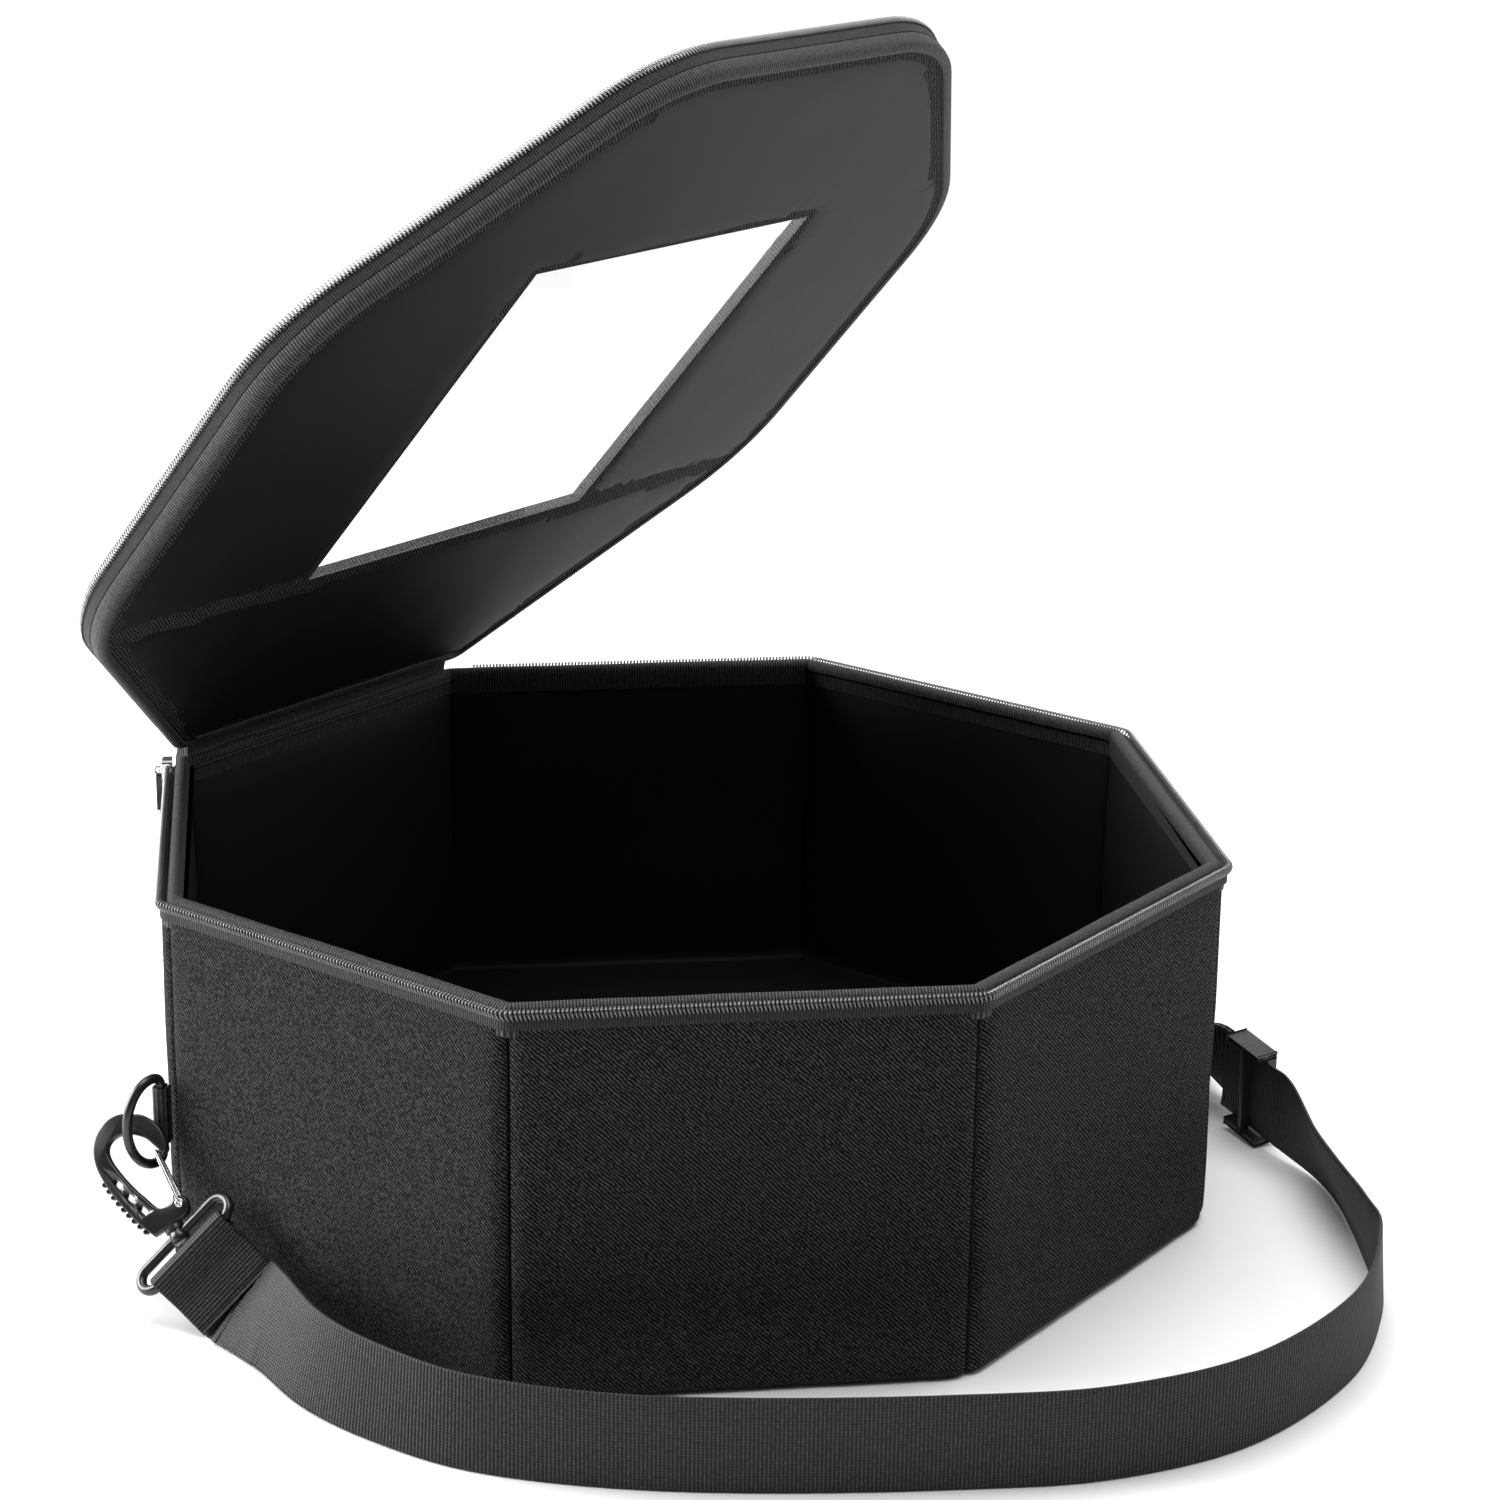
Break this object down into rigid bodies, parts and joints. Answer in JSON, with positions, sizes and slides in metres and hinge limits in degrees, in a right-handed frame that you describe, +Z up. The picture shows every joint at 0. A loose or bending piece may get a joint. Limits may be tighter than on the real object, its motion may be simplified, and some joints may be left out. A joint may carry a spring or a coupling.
{
  "type": "hat box",
  "caption": "Eight-sided padded hat box with a zip-round hinged lid that has a clear window, and a webbing shoulder strap on swivel snap hooks.",
  "frame": {"origin": "centre of the box's underside, on the floor", "axes": "+Z up; -X is the hinge side of the lid; -Y is the side nearer the viewer, where the front clip hangs at its left corner"},
  "size_m": [0.5735, 0.5371, 0.516],
  "materials": {
    "cloth": "matt oxford weave",
    "lining": "smooth lining cloth",
    "binding": "ribbed grosgrain",
    "zip": "nylon coil",
    "webbing": "cross-ribbed webbing",
    "black_metal": "satin black coat",
    "steel": "bright",
    "plastic": "satin",
    "clear": "clear flexible vinyl sheet"
  },
  "bodies": {
    "box": {"wall_panel_1": "cloth", "wall_panel_2": "cloth", "wall_panel_3": "cloth", "wall_panel_4": "cloth", "wall_panel_5": "cloth", "wall_panel_6": "cloth", "wall_panel_7": "cloth", "wall_panel_8": "cloth", "base_panel": "cloth", "box_lining": "lining", "rim_binding": "binding", "box_zip_tape": "binding", "box_zip_coil": "zip", "hinge_fold": "binding", "zip_slider": "steel", "webbing_tab_front": "webbing", "webbing_tab_back": "webbing", "d_ring_front": "black_metal", "d_ring_back": "black_metal", "clip_loop_front": "black_metal", "clip_loop_back": "black_metal", "shoulder_strap": "webbing", "strap_adjuster": "plastic"},
    "lid": {"lid_panel": "cloth", "lid_binding": "binding", "lid_lining_near": "lining", "lid_lining_far": "lining", "window_sheet": "clear", "lid_zip_tape": "binding", "lid_zip_coil": "zip"},
    "pull": {"zip_pull": "black_metal"},
    "front_hook": {"clip_hook_front": "black_metal"},
    "front_gate": {"clip_gate_front": "steel"},
    "back_hook": {"clip_hook_back": "black_metal"},
    "back_gate": {"clip_gate_back": "steel"}
  },
  "joints": [
    {"name": "lid_hinge", "type": "hinge", "parent": "box", "child": "lid", "pos_m": [-0.2216, 0, 0.1715], "axis": [0, -1, 0], "range_deg": [-48.8, 120]},
    {"name": "pull_swing", "type": "hinge", "parent": "box", "child": "pull", "pos_m": [-0.225, -0.10098, 0.164], "axis": [-0.7071, 0.7071, 0], "range_deg": [0, 100]},
    {"name": "front_hook_swivel", "type": "hinge", "parent": "box", "child": "front_hook", "pos_m": [-0.06852, -0.2487, 0.03759], "axis": [-0.7603, 0.0984, 0.6421], "range_deg": [-8, 2]},
    {"name": "front_gate_hinge", "type": "hinge", "parent": "front_hook", "child": "front_gate", "pos_m": [-0.06857, -0.24324, 0.0454], "axis": [0.3551, -0.7648, 0.5377], "range_deg": [0, 28], "stiffness_Nm_per_rad": 0.02, "springref_deg": -17.19},
    {"name": "back_hook_swivel", "type": "hinge", "parent": "box", "child": "back_hook", "pos_m": [0.12741, 0.22431, 0.03759], "axis": [0.6072, -0.468, -0.6421], "range_deg": [-8, 2]},
    {"name": "back_gate_hinge", "type": "hinge", "parent": "back_hook", "child": "back_gate", "pos_m": [0.12351, 0.22048, 0.0454], "axis": [-0.7918, -0.2897, -0.5377], "range_deg": [0, 28], "stiffness_Nm_per_rad": 0.02, "springref_deg": -17.19}
  ]
}
